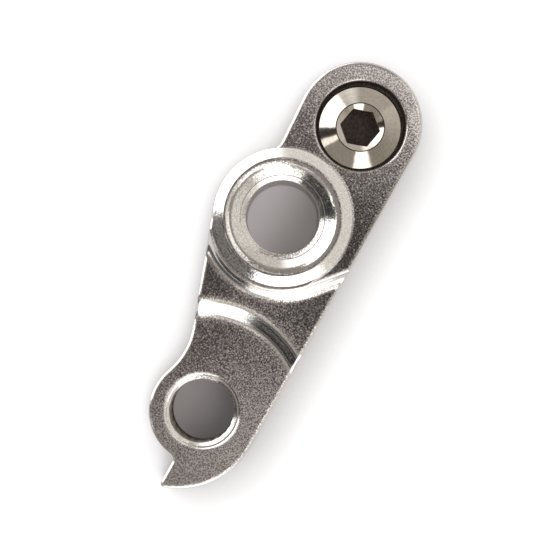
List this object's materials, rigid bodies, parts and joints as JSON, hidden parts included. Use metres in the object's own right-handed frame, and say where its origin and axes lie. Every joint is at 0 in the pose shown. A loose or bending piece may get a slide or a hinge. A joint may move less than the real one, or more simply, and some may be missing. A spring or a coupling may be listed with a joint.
{
  "type": "bicycle derailleur hanger",
  "caption": "Flat bracket with a raised ring round the axle bore, a threaded derailleur eye with a stop hook, and a lobe holding its low-head fixing bolt.",
  "frame": {"origin": "on the axle axis, in the flat face that lies against the bicycle frame", "axes": "+Z along the axle axis to the outer side, +Y along the body to the fixing bolt, derailleur hole at -Y"},
  "size_m": [0.0221, 0.0682, 0.0132],
  "materials": {
    "hanger_alloy": "tumbled flats with a fine sparkle, bright turned ring and steps",
    "bolt_steel": "polished nickel-plated steel"
  },
  "bodies": {
    "root": {"hanger_body": "hanger_alloy", "fixing_bolt": "bolt_steel"}
  },
  "joints": []
}
